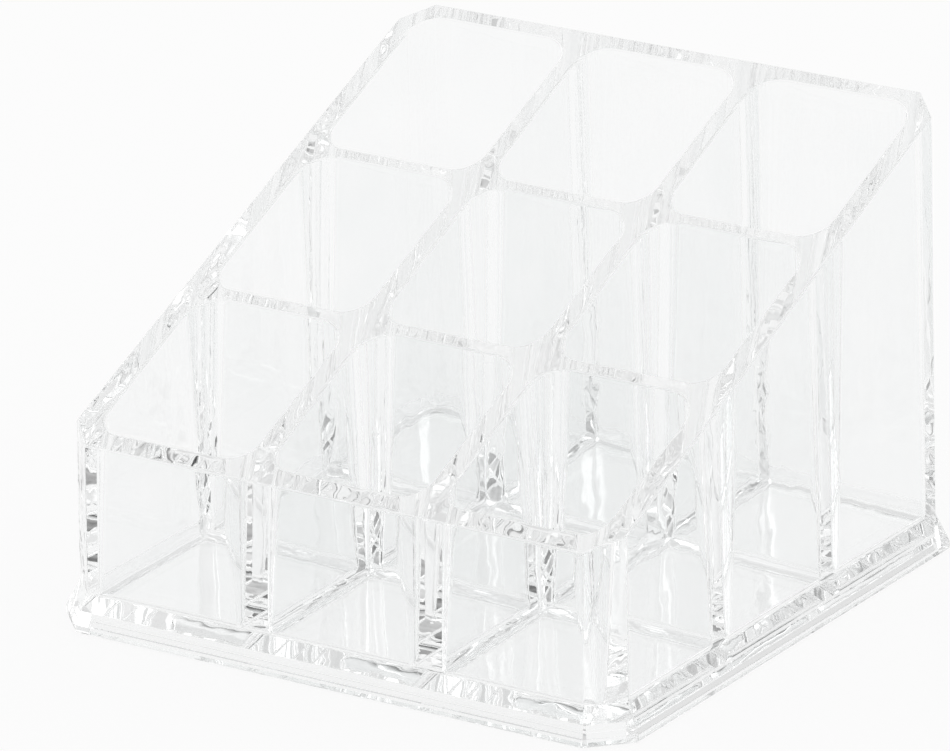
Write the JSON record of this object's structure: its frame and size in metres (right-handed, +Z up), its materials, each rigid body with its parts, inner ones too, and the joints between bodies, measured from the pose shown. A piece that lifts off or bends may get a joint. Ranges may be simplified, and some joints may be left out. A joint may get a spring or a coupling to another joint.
{
  "type": "vanity organizer",
  "caption": "Clear plastic vanity organizer: a block of open wells under a top that slopes up to the back, on a flared foot with cut corners and a recess under it.",
  "frame": {"origin": "on the table, under the middle of the base ring", "axes": "+Z up; +Y towards the high back of the organizer; +X to the right of someone who faces its low front edge"},
  "size_m": [0.0918, 0.0928, 0.0648],
  "materials": {
    "clear_body": "polished, transparent, colourless",
    "clear_base": "polished, transparent, colourless"
  },
  "bodies": {
    "root": {"compartment_body": "clear_body", "base_ring": "clear_base"}
  },
  "joints": []
}
